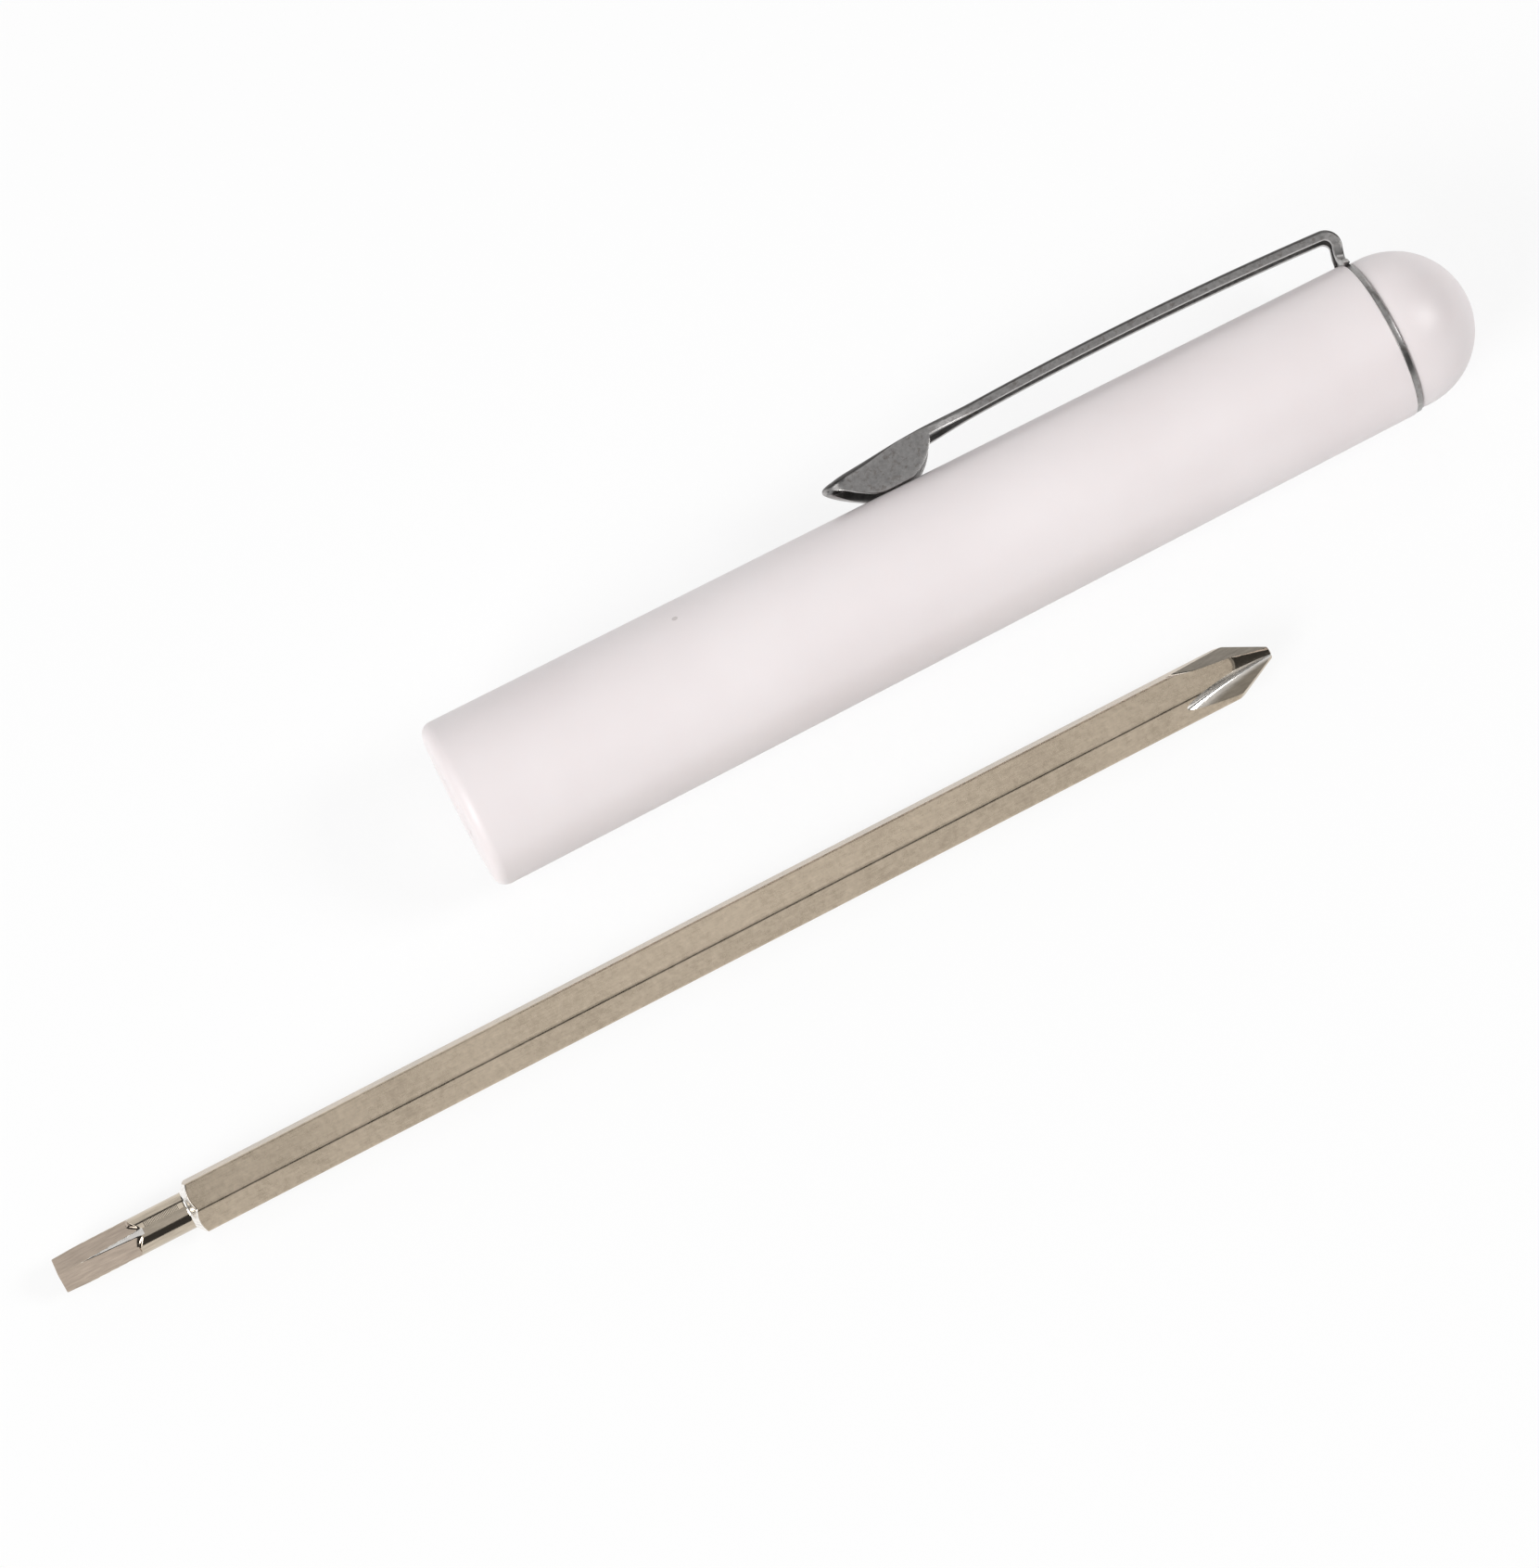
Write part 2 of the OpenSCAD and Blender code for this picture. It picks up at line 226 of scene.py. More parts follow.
plastic, t = material("satin_white_plastic")
place = t.make("ShaderNodeTexCoord", output="Object")
clouds = noise(place, 55, 3, 0.55)
rubbed = noise(place, 420, 4, 0.6)
speck_dots = t.make("ShaderNodeTexVoronoi", {"Vector": place, "Scale": 160, "Randomness": 1})
speck_draw = noise(place, 95, 0)
specks = (1 - (speck_dots > 0.05)) * (speck_draw > 0.66)
tone = ramp(clouds, (0.3, (0.79, 0.728, 0.73, 1)), (0.7, (0.835, 0.78, 0.782, 1)))
pores = noise(place, 5200, 2, 0.6)
waves = noise(place, 240, 2, 0.5)
surface(
    t,
    Base_Color=mixed(specks * 0.4, tone, (0.32, 0.27, 0.25, 1)),
    Roughness=rubbed * 0.14 + 0.33,
    Normal=relief(pores * 0.35 + waves * 0.65, 0.28, 0.02 * MM),
    IOR=1.49,
    Subsurface_Weight=0.06,
    Subsurface_Radius=(0.6, 0.45, 0.4),
    Subsurface_Scale=0.001,
)

# ---------------------------------------------------------------- barrel
# The grip: one hollow moulding that tapers to the cap, with a round rim at its open end.
# The blade goes into the hexagonal socket in its middle, whose mouth is bevelled.
barrel_len, r_open, r_washer = 93.5, 8.1, 7.55
rim, washer_edge, seat_proud = 1.2, 0.15, 0.0009
socket_flat, mouth_bevel = 4.8625 / 2, 0.3
socket_end, seat_r = 87.5, 5.8
around_barrel, turned_crisp = 192, 32
to_corner = 1 / math.cos(math.radians(30))
lie_tilt = math.atan((r_open - r_washer) / barrel_len)
lay_down = Matrix.Rotation(lie_tilt, 4, "Y")


def arc(x, r, radius, first, last, steps):
    """Points of an arc in a profile of places along the axis and radii."""
    turns = np.radians(np.linspace(first, last, steps + 1))
    return [(x + radius * math.cos(a), r + radius * math.sin(a)) for a in turns]


def turning_tree():
    """A lathe: spins a profile of points around X. Where a point's six_sided is 1, its
    radius is that of a hexagon's flats."""
    tree = bpy.data.node_groups.new("lathe", "GeometryNodeTree")
    face = tree.interface
    face.new_socket("Profile", in_out="INPUT", socket_type="NodeSocketGeometry")
    face.new_socket("Steps Around", in_out="INPUT", socket_type="NodeSocketInt")
    face.new_socket("Finish", in_out="INPUT", socket_type="NodeSocketMaterial")
    face.new_socket("Geometry", in_out="OUTPUT", socket_type="NodeSocketGeometry")
    s = Socket(tree, None)
    profile = s.make("NodeGroupInput", output="Profile")
    steps = s.make("NodeGroupInput", output="Steps Around")
    finish = s.make("NodeGroupInput", output="Finish")

    def maths(operation, *values):
        return s.make("ShaderNodeMath", dict(enumerate(values)), {"operation": operation})

    def along_profile(value, kind):
        sockets = {0: profile, "Value": value, "Index": row}
        return s.make("GeometryNodeSampleIndex", sockets, {"data_type": kind})

    count = s.make("GeometryNodeAttributeDomainSize", {0: profile}, {"component": "MESH"})
    grid = s.make("GeometryNodeMeshGrid", {"Vertices X": count, "Vertices Y": steps + 1})
    index = s.make("GeometryNodeInputIndex")
    row = maths("FLOOR", index / (steps + 1))
    angle = (index - row * (steps + 1)) / steps * math.tau
    point = along_profile(s.make("GeometryNodeInputPosition"), "FLOAT_VECTOR")
    x = s.make("ShaderNodeSeparateXYZ", {0: point}, output="X")
    r = s.make("ShaderNodeSeparateXYZ", {0: point}, output="Y")
    named = s.make(
        "GeometryNodeInputNamedAttribute", {"Name": "six_sided"}, {"data_type": "FLOAT"}
    )
    six_sided = along_profile(named, "FLOAT")
    sixth = math.tau / 6
    from_flat = maths("MODULO", angle, sixth) - sixth / 2
    radius = r * (1 - six_sided) + r * (1 / maths("COSINE", from_flat)) * six_sided
    y, z = radius * maths("COSINE", angle), radius * maths("SINE", angle)
    spot = s.make("ShaderNodeCombineXYZ", {0: x, 1: y, 2: z})
    spun = s.make("GeometryNodeSetPosition", {0: grid, "Position": spot})
    closed = s.make("GeometryNodeMergeByDistance", {0: spun, "Distance": 2e-6})
    smooth = s.make("GeometryNodeSetShadeSmooth", {0: closed})
    real = s.make("GeometryNodeRealizeInstances", {0: smooth})
    done = s.make("GeometryNodeSetMaterial", {0: real, "Material": finish})
    s.make("NodeGroupOutput", {"Geometry": done})
    return tree


def plain_mesh(piece):
    """Keeps what a piece's modifiers make as its plain mesh, and removes them."""
    bpy.context.view_layer.update()
    ready = piece.evaluated_get(bpy.context.evaluated_depsgraph_get())
    mesh, old = bpy.data.meshes.new_from_object(ready), piece.data
    piece.modifiers.clear()
    piece.data = mesh
    bpy.data.meshes.remove(old)
    mesh.name = piece.name


def outward(mesh, sharp_over):
    """Turns every face outwards and keeps edges sharper than the angle crisp."""
    work = bmesh.new()
    work.from_mesh(mesh)
    bmesh.ops.remove_doubles(work, verts=work.verts, dist=1e-7)
    bmesh.ops.dissolve_degenerate(work, dist=1e-8, edges=work.edges)
    bmesh.ops.recalc_face_normals(work, faces=work.faces)
    if work.calc_volume(signed=True) < 0:
        bmesh.ops.reverse_faces(work, faces=work.faces)
    for face in work.faces:
        face.smooth = True
    work.to_mesh(mesh)
    work.free()
    mesh.set_sharp_from_angle(angle=math.radians(sharp_over))


def turned(name, profile, steps, finish, six_sided=None, place=lay_down):
    """A turned piece, from a profile in millimetres, on the handle's axis or elsewhere."""
    mesh = bpy.data.meshes.new(name)
    lines = [(i, i + 1) for i in range(len(profile) - 1)]
    mesh.from_pydata([(x * MM, r * MM, 0) for x, r in profile], lines, [])
    shares = mesh.attributes.new("six_sided", "FLOAT", "POINT")
    shares.data.foreach_set("value", six_sided or [0.0] * len(profile))
    piece = bpy.data.objects.new(name, mesh)
    scene.collection.objects.link(piece)
    spin = piece.modifiers.new("spin", "NODES")
    spin.node_group = lathe
    values = {"Steps Around": steps, "Finish": finish}
    for item in lathe.interface.items_tree:
        if item.name in values:
            spin[item.identifier] = values[item.name]
    plain_mesh(piece)
    piece.data.transform(place)
    outward(piece.data, turned_crisp)
    return piece


lathe = turning_tree()
mouth_r = socket_flat * to_corner + mouth_bevel
rim_r = r_open - rim / math.cos(lie_tilt) - rim * math.tan(lie_tilt)
edge_r = r_washer + seat_proud - washer_edge
skin_xs = (4, 10, 20, 35, 50, 65, 78, 88, 92.5)
skin = arc(rim, rim_r, rim, 180, 90 - math.degrees(lie_tilt), 14)
skin += [(x, r_open - x * math.tan(lie_tilt)) for x in skin_xs]
skin += arc(barrel_len - washer_edge, edge_r, washer_edge, 88, 0, 5)
end_face = [(0, mouth_r)] + [(0, rim_r * s + mouth_r * (1 - s)) for s in (0.3, 0.8)]
seat = [(barrel_len, seat_r), (socket_end, seat_r)]
socket = [(x, socket_flat) for x in (socket_end, 60, 30, 10, 2, mouth_bevel)]
profile = end_face + skin + seat + socket + [(0, mouth_r)]
hexed = [0.0] * len(end_face + skin + seat) + [1.0] * len(socket) + [0.0]
barrel = turned("barrel_moulding", profile, around_barrel, plastic, hexed)
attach(barrel, "handle")
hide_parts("barrel")

# ---------------------------------------------------------------- end cap
# The domed cap, moulded in the same plastic. Its plug goes through the clip's washer and
# is pressed into the barrel; the post in its middle is where the blade stops.
sheet = 0.55
cap_x, cap_r, skirt, cap_edge = barrel_len + sheet, 7.3, 1.1, 0.25
post_r, groove_r, groove_end = 3.0, 4.3, cap_x + 2
around_cap = 160
dome = arc(cap_x + skirt, 0, cap_r, 90, 0, 40)
dome[-1] = (cap_x + skirt + cap_r, 0)
profile = (
    [(socket_end, 0), (socket_end, post_r), (groove_end, post_r), (groove_end, groove_r)]
    + [(socket_end, groove_r), (socket_end, seat_r), (cap_x, seat_r)]
    + [(cap_x, cap_r - 2 * cap_edge)]
    + arc(cap_x + cap_edge, cap_r - cap_edge, cap_edge, 180, 90, 5)
    + dome
)
cap = turned("cap_moulding", profile, around_cap, plastic)
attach(cap, "handle")
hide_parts("end_cap")

# ---------------------------------------------------------------- nickel plate of the clip
# The clip's spring steel is plated with dull nickel: grey, with faint rolling lines along
# it, small pits, brown stains and brighter metal where edges are rubbed. Its back is
# painted nearly black: painted shade for the dark that the back reflects.


def drawn_out(place, share):
    """Coordinates for a pattern that is stretched along X."""
    sockets = {0: place, "Scale": (share, 1, 1)}
    return place.make("ShaderNodeMapping", sockets, {"vector_type": "POINT"})


def own_share(t, name):
    """A share that a piece's mesh carries for each point or face."""
    return t.make("ShaderNodeAttribute", {}, {"attribute_name": name}, output="Fac")


clip_nickel, t = material("dull_nickel_clip")
place = t.make("ShaderNodeTexCoord", output="Object")
rolled = noise(drawn_out(place, 0.12), 5200, 3, 0.6)
mottle = noise(place, 2400, 5, 0.66)
pits = t.make("ShaderNodeTexVoronoi", {"Vector": place, "Scale": 2600})
grey_plate = ramp(mottle, (0.35, (0.245, 0.238, 0.235, 1)), (0.65, (0.325, 0.316, 0.31, 1)))
stains = ramp(noise(place, 1900, 4, 0.7), (0.54, grey(0)), (0.64, grey(1)))
stained = mixed(stains * 0.45, grey_plate, (0.13, 0.1, 0.085, 1))
edges = t.make("ShaderNodeNewGeometry", output="Pointiness")
worn = ramp(edges, (0.5, grey(0)), (0.62, grey(1)))
rubbed = mixed(worn * 0.4, stained, (0.7, 0.68, 0.66, 1))
surface(
    t,
    # The share "cut" paints the back nearly black: painted shade for the dark it reflects
    Base_Color=mixed(own_share(t, "cut") * 0.85, rubbed, (0.07, 0.066, 0.064, 1)),
    Metallic=1.0,
    Roughness=mottle * 0.25 + 0.2,
    Normal=relief(rolled * 0.7 + pits * 0.3, 0.35, 0.01 * MM),
)

# ---------------------------------------------------------------- clip's washer and tab
# The washer end of the clip, clamped between the barrel and the cap. Its tab stands up at
# the back of the handle and leans out over the cap, and the arm springs from its end.
clip_angle, washer_hole, washer_inset, washer_soft = 76.5, 5.9, 0.08, 0.07
tab_w, tab_lean, tab_round = 2.6, 18, 0.12
bend_r, clip_len, arm_height, crest_from, bow_r = 1.0, 51.3, 4.2, 22.7, 370
sheet_soft, soft_over, sheet_crisp = 0.07, 40, 25
washer_r = r_open - cap_x * math.tan(lie_tilt) - washer_inset
crest_x = barrel_len - crest_from
bow_z = r_open - crest_x * math.tan(lie_tilt) + arm_height - bow_r
at_clip = lay_down @ Matrix.Rotation(math.radians(-clip_angle), 4, "X")

# The bend touches the tab's leaning plane and the arm's bow; its centre follows from both
bend_out = bend_r + sheet
lean_sin, lean_cos = math.sin(math.radians(tab_lean)), math.cos(math.radians(tab_lean))
from_x = cap_x - bend_out * lean_cos - crest_x
from_z = washer_r + bend_out * lean_sin - bow_z
up = from_x * lean_sin + from_z * lean_cos
tab_rise = math.sqrt(up**2 - from_x**2 - from_z**2 + (bow_r - bend_out) ** 2) - up
bend_x = crest_x + from_x + tab_rise * lean_sin
bend_z = bow_z + from_z + tab_rise * lean_cos
bend_end = math.degrees(math.atan2(bend_z - bow_z, bend_x - crest_x))

# How many points a pressed sheet's cross line has on its back, round its corner and down
# its side, and how many of the corner's points count as side
across, corner, down, corner_side = 7, 8, 7, 3
towards_corner, most_round = 2.2, 0.9


def cross_line(middle, out, normal, width, depth, round_r):
    """Points from the middle of the back to the rim, in a plane given by two directions."""
    middle, out, normal = Vector(middle), Vector(out), Vector(normal)
    round_r = min(round_r, depth * most_round, width * most_round)
    flat_w = width - round_r
    line = [((1 - s**towards_corner) * flat_w, 0) for s in np.linspace(1, 0, across)]
    for a in np.linspace(0, math.pi / 2, corner)[1:]:
        line.append((flat_w + round_r * math.sin(a), round_r * (1 - math.cos(a))))
    line += [(width, round_r + (depth - round_r) * s) for s in np.linspace(0, 1, down)[1:]]
    return [middle + out * w + normal * -d for w, d in line]


def pressed(name, near, finish):
    """A piece of sheet from the cross lines of its near half, mirrored for the far half. The
    share "cut" tells its back, which the material paints nearly black as painted shade, from
    its sides."""
    # 1 for points on the back, which the material paints nearly black as painted shade
    painted_dark_backs = [float(k < across + corner - corner_side) for k in range(len(near[0]))]
    if near[-1][-1].y > -1e-4:
        far = [[Vector((p.x, -p.y, p.z)) for p in line] for line in reversed(near[:-1])]
        rows = near + far
    else:
        rows = [[Vector((p.x, -p.y, p.z)) for p in reversed(line[1:])] + line for line in near]
        painted_dark_backs = painted_dark_backs[:0:-1] + painted_dark_backs
    n = len(rows[0])
    faces = [
        (i * n + k, i * n + k + 1, (i + 1) * n + k + 1, (i + 1) * n + k)
        for i in range(len(rows) - 1)
        for k in range(n - 1)
    ]
    mesh = bpy.data.meshes.new(name)
    mesh.from_pydata([p * MM for row in rows for p in row], [], faces)
    mesh.attributes.new("cut", "FLOAT", "POINT").data.foreach_set("value", painted_dark_backs * len(rows))
    work = bmesh.new()
    work.from_mesh(mesh)
    bmesh.ops.remove_doubles(work, verts=work.verts, dist=1e-6)
    bmesh.ops.recalc_face_normals(work, faces=work.faces)
    if max(work.faces, key=lambda f: f.calc_center_median().z).normal.z < 0:
        bmesh.ops.reverse_faces(work, faces=work.faces)
    work.to_mesh(mesh)
    work.free()
    mesh.transform(at_clip)
    mesh.materials.append(finish)
    piece = bpy.data.objects.new(name, mesh)
    scene.collection.objects.link(piece)
    wall = piece.modifiers.new("sheet", "SOLIDIFY")
    wall.thickness, wall.offset, wall.use_even_offset = sheet * MM, -1, True
    wall.use_quality_normals = True
    soft = piece.modifiers.new("broken edges", "BEVEL")
    soft.width, soft.segments = sheet_soft * MM, 2
    soft.limit_method, soft.angle_limit = "ANGLE", math.radians(soft_over)
    soft.harden_normals = False
    plain_mesh(piece)
    for polygon in piece.data.polygons:
        polygon.use_smooth = True
    piece.data.set_sharp_from_angle(angle=math.radians(sheet_crisp))
    return piece


profile = (
    [(barrel_len, washer_hole)]
    + arc(barrel_len + washer_soft, washer_r - washer_soft, washer_soft, 180, 90, 3)
    + arc(cap_x - washer_soft, washer_r - washer_soft, washer_soft, 90, 0, 3)
    + [(cap_x, washer_hole), (barrel_len, washer_hole)]
)
washer = turned("clip_washer", profile, around_cap, clip_nickel)

# The tab from its root in the washer up to the bend: share of its height, what its half
# width has over the plain tab's, and how deep its turned edges are
tab_rows = (
    (-0.25, 2.0, 0.6), (-0.1, 1.75, 0.6), (0.0, 1.5, 0.6), (0.08, 1.0, 0.6), (0.16, 0.62, 0.64),
    (0.26, 0.34, 0.72), (0.38, 0.14, 0.8), (0.55, 0.04, 0.88), (0.8, 0.0, 0.9), (1.0, 0.0, 0.9),
)
tab_normal = (lean_cos, 0, -lean_sin)
near_side = (0, -1, 0)
tab_lines = []
for share, flare, depth in tab_rows:
    rise = tab_rise * share
    middle = (cap_x + rise * lean_sin, 0, washer_r + rise * lean_cos)
    if share < 0:
        middle = (cap_x, 0, washer_r + rise)
    tab_lines.append(
        cross_line(middle, near_side, tab_normal, tab_w / 2 + flare, depth, tab_round)
    )
tab = pressed("clip_tab", tab_lines[::-1], clip_nickel)
for piece in (washer, tab):
    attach(piece, "handle")
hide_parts("clip_ring")

# ---------------------------------------------------------------- clip's arm and foot
# The long arm of the same stamping: a shallow channel that bows away from the grip, and
# ends in a hollow spoon-shaped foot whose rim all but touches the barrel.
arm_half, flange, arm_round = 1.4, 0.9, 0.4
foot_half, foot_len, foot_round, foot_gap = 2.45, 10.8, 0.7, 0.12
toe_angle, ball_r, nose_depth = math.radians(33), 3.5, 0.25
heel_angle, heel_r, heel_bulge = math.radians(52), 2.0, 1.45
shoulder, shoulder_past, round_run = 6.5, 5.5, 5.0
crisp_share, crisp_from, crisp_run = 0.82, 2.6, 3.0
bend_rows, arm_rows, heel_rows, fan_rows = 15, 70, 26, 22
past_bend, past_heel = 0.15, 0.1
nose_x = barrel_len - clip_len
heel_x = nose_x + foot_len


def back_z(x):
    return bow_z + math.sqrt(bow_r**2 - (x - crest_x) ** 2)


# The rim's places: its lowest line, the foot's ball behind the toe, and the heel's turn
barrel_r = r_open - (nose_x + foot_len / 2) * math.tan(lie_tilt)
low_z = math.sqrt(barrel_r**2 - (foot_half - sheet) ** 2) + foot_gap
toe_z = low_z + ball_r * (1 - math.cos(toe_angle))
toe_x = nose_x + (back_z(nose_x) - nose_depth - toe_z) / math.tan(toe_angle)
ball_x = toe_x + ball_r * math.sin(toe_angle)
heel_top = back_z(heel_x) - flange
heel_rise = heel_top - low_z - heel_r * (1 - math.cos(heel_angle))
heel_turn = heel_x - heel_rise / math.tan(heel_angle) - heel_r * math.sin(heel_angle)


def rim_z(x):
    """Height of the foot's rim, or of the flange's edge, at a place along the clip."""
    if x < toe_x:
        return toe_z + (toe_x - x) * math.tan(toe_angle)
    if x < ball_x:
        return low_z + ball_r - math.sqrt(ball_r**2 - (ball_x - x) ** 2)
    if x < heel_turn:
        return low_z
    if x < heel_x:
        share = (x - heel_turn) / (heel_x - heel_turn)
        return heel_top - (heel_top - low_z) * (1 - share**heel_bulge) ** (1 / heel_bulge)
    return back_z(x) - flange


def half_width(x):
    share = min(max((x - (heel_x + shoulder_past - shoulder)) / shoulder, 0), 1)
    return arm_half + (foot_half - arm_half) * (1 + math.cos(math.pi * share)) / 2


def eased(share):
    return share * share * (3 - 2 * share)


def back_round(x):
    """Rounding of the back's corner: widest at the toe and almost sharp at the heel."""
    share = eased(min(max((heel_x - x) / round_run, 0), 1))
    plain = arm_round + (foot_round - arm_round) * share
    return plain * (1 - crisp_share * math.exp(-(((heel_x - crisp_from - x) / crisp_run) ** 2)))


# Its cross lines: first around the bend, then along the arm and the foot, then in a fan
# around the nose
arm_lines = []
for a in np.linspace(-tab_lean, bend_end, bend_rows):
    share = eased((a + tab_lean) / (bend_end + tab_lean))
    turned_to = Vector((math.cos(math.radians(a)), 0, math.sin(math.radians(a))))
    middle = Vector((bend_x, 0, bend_z)) + turned_to * bend_out
    wide = tab_w / 2 + (arm_half - tab_w / 2) * share
    round_r = tab_round + (arm_round - tab_round) * share
    arm_lines.append(cross_line(middle, near_side, turned_to, wide, flange, round_r))
fan_x = nose_x + foot_half
heel_steps = np.sin(np.linspace(math.pi / 2, 0, heel_rows))
arm_xs = list(np.linspace(bend_x - past_bend, heel_x + past_heel, arm_rows))
arm_xs += list(heel_turn + (heel_x - heel_turn) * heel_steps)
arm_xs += list(np.linspace(heel_turn, fan_x, heel_rows)[1:])
for x in arm_xs:
    middle, depth = (x, 0, back_z(x)), back_z(x) - rim_z(x)
    arm_lines.append(
        cross_line(middle, near_side, (0, 0, 1), half_width(x), depth, back_round(x))
    )
for a in np.radians(np.linspace(90, 180, fan_rows)[1:]):
    out = Vector((math.cos(a), -math.sin(a), 0))
    x_rim = fan_x + out.x * foot_half
    depth = back_z(x_rim) - rim_z(x_rim)
    line = []
    for p in cross_line((0, 0, 0), out, (0, 0, 1), foot_half, depth, foot_round):
        x = fan_x + p.x
        line.append(Vector((x, p.y, back_z(x) + p.z)))
    arm_lines.append(line)
arm = pressed("clip_spring_arm", arm_lines, clip_nickel)
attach(arm, "clip_arm")
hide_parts("clip_arm")

# ---------------------------------------------------------------- nickel plate of the blade
# The blade is drawn steel bar under satin nickel: a warm grey, grained along its length,
# with a fine mottled skin on the flats. Its tips are milled, turned or ground bright. Its
# flutes carry a painted highlight on the front one and painted shade on that one's lower
# wall and on the others.
milled, turned_metal, ground = (0.46, 0.38, 0.31, 1), (0.55, 0.475, 0.38, 1), (0.93, 0.9, 0.86, 1)
blade_nickel, t = material("satin_nickel_blade")
place = t.make("ShaderNodeTexCoord", output="Object")
grain = noise(drawn_out(place, 0.06), 6500, 3, 0.65)
mottle = noise(place, 1500, 5, 0.7)
stains = noise(place, 130, 3, 0.6)
scratches = noise(drawn_out(place, 0.15), 3800, 3, 0.6)
plate_share = mottle * 0.5 + stains * 0.3 + grain * 0.2
plate = ramp(plate_share, (0.36, (0.39, 0.322, 0.244, 1)), (0.64, (0.645, 0.542, 0.42, 1)))
plate_rough = mottle * 0.12 + stains * 0.12 + 0.16
# The share "flute" brings in the flutes' painted highlight and painted shade
both = {0: own_share(t, "cut"), 1: own_share(t, "flute")}
cut = t.make("ShaderNodeMath", both, {"operation": "MAXIMUM"})
cut_plain = ramp(
    cut, (0.3, milled), (0.36, milled), (0.6, turned_metal), (0.75, turned_metal), (0.95, ground)
)
cut_metal = t.make(
    "ShaderNodeHueSaturation", {"Color": cut_plain, "Value": scratches * 0.7 + 0.65, "Fac": 1.0}
)
cut_rough = mottle * 0.16 + 0.03 + (cut > 0.95) * 0.14
is_cut = ramp(cut, (0.05, grey(0)), (0.28, grey(1)))
surface(
    t,
    Base_Color=mixed(is_cut, plate, cut_metal),
    Metallic=1.0,
    Roughness=plate_rough * (1 - is_cut) + cut_rough * is_cut,
    Normal=relief(grain * 0.6 + mottle * 0.4, 0.28, 0.012 * MM),
)

# ---------------------------------------------------------------- blade
# One hexagonal bar, a Phillips point with four ground flutes at one end, and a square
# tip at the other, milled on a turned neck behind a cone. It lies beside the handle.
flat, bar_len, beyond, beside = 4.7625 / 2, 121.6, 50.4, 9.3
corner_loss, corner_blend, end_break = 0.05, 0.0267, 0.06
neck_r, neck_end, cone_angle = 1.75, 13.5, math.radians(54)
square, square_len, square_taper = 1.15, 7.1, math.radians(1.8)
run_least, run_more, run_side, run_rise = 0.45, 1.15, math.radians(-15), 0.15
point_angle, blunt = math.radians(26.5), 0.55
wheel_r, wheel_past, web = 47.0, 2.8, 0.33
flute_half, flute_soft, flute_least = math.radians(46), 0.2, 0.02
cross_turn, tip_len = math.radians(-6), 10.6
cone_foot_blend, cone_top_blend, square_blend, point_blend = 0.25, 0.12, 0.05, 0.1
around, finer, blade_crisp, no_wall = 240, 24, 28, 99.0
bar_r = flat * to_corner - corner_loss
bar_y, bar_z = -(r_open + beside + bar_r), floor_z / MM + flat
cone_from = neck_end - (bar_r - neck_r) / math.tan(cone_angle)
run_end = square_len + run_least + run_more
# The finishes, as shares that the material tells apart; the third, for the flutes away from the
# front, is painted shade
milled_share, turned_share, flute_painted_shade_share, ground_share = 0.33, 0.67, 0.79, 1.0
cut_from, cut_fade, cone_slack, neck_slack, cone_bright = 0.004, 0.02, 0.05, 0.03, 3
scoop_share, scoop_half = 0.8, 0.17
# Painted light in the flutes: where the front flute with its painted highlight begins, and the
# painted shade on its lower wall and over what angle it grows
front_from, lower_painted_shade, lower_run = math.radians(260), 0.3, math.radians(26)


def soft_least(a, b, blend):
    """The smaller of two radii, with the edge between them rounded."""
    gap = np.maximum(blend - np.abs(a - b), 0)
    return np.minimum(a, b) - gap**2 / (4 * blend)


def soft_most(a, b, blend):
    return -soft_least(-a, -b, blend)


def hexagon(theta):
    """Radius of the plain bar, with its corners rounded."""
    off = (theta + math.tau / 12) % (math.tau / 6) - math.tau / 12
    next_flat = np.cos(math.tau / 6 - np.abs(off)) / flat
    return 1 / soft_most(np.cos(off) / flat, next_flat, corner_blend)


def from_corner(theta):
    """How far an angle is from the two corners of the square with the longest scoops."""
    return np.abs((theta - run_side + math.pi / 2) % math.pi - math.pi / 2)


def square_flats(theta, x):
    """Radius of the square, whose flats end in scoops, longest beside two corners."""
    quarter = math.tau / 4
    local = (theta + math.tau / 6 + quarter / 2) % quarter - quarter / 2
    flats = (square + min(x, square_len) * math.tan(square_taper)) / np.cos(local)
    if x <= square_len:
        return flats
    run_out = run_least + run_more * np.maximum(0, 1 - from_corner(theta) / (quarter / 2))
    gone = np.clip((x - square_len) / run_out, 0, 1)
    start = np.minimum(flats, neck_r)
    return start + (neck_r + run_rise - start) * (1 - np.sqrt(1 - gone**2))


def from_valley(theta):
    """Angle from the bottom of the nearest flute."""
    return (theta - cross_turn) % (math.tau / 4) - math.tau / 8


def flute_wall(theta, x):
    """Radius of the four ground flutes, with their bottoms rounded."""
    reach = bar_len - x + wheel_past
    if reach > wheel_r / 2:
        return np.full(len(theta), no_wall)
    height = web + wheel_r - math.sqrt(wheel_r**2 - reach**2)
    off = np.sqrt(from_valley(theta) ** 2 + flute_soft**2)
    wall = height * math.sin(flute_half) / np.sin(np.maximum(flute_half - off, flute_least))
    return np.where(off < flute_half - flute_least, wall, no_wall)


def bar_body(theta, x):
    """Radius of the bar with its cone, its neck, its square and the cone of its point."""
    cone = neck_r + (x - cone_from) * math.tan(cone_angle)
    point = blunt + (bar_len - x) * math.tan(point_angle)
    shank = soft_most(neck_r, cone, cone_foot_blend)
    out = soft_least(hexagon(theta), shank, cone_top_blend)
    if x < run_end:
        out = soft_least(out, square_flats(theta, x), square_blend)
    return soft_least(out, point, point_blend)


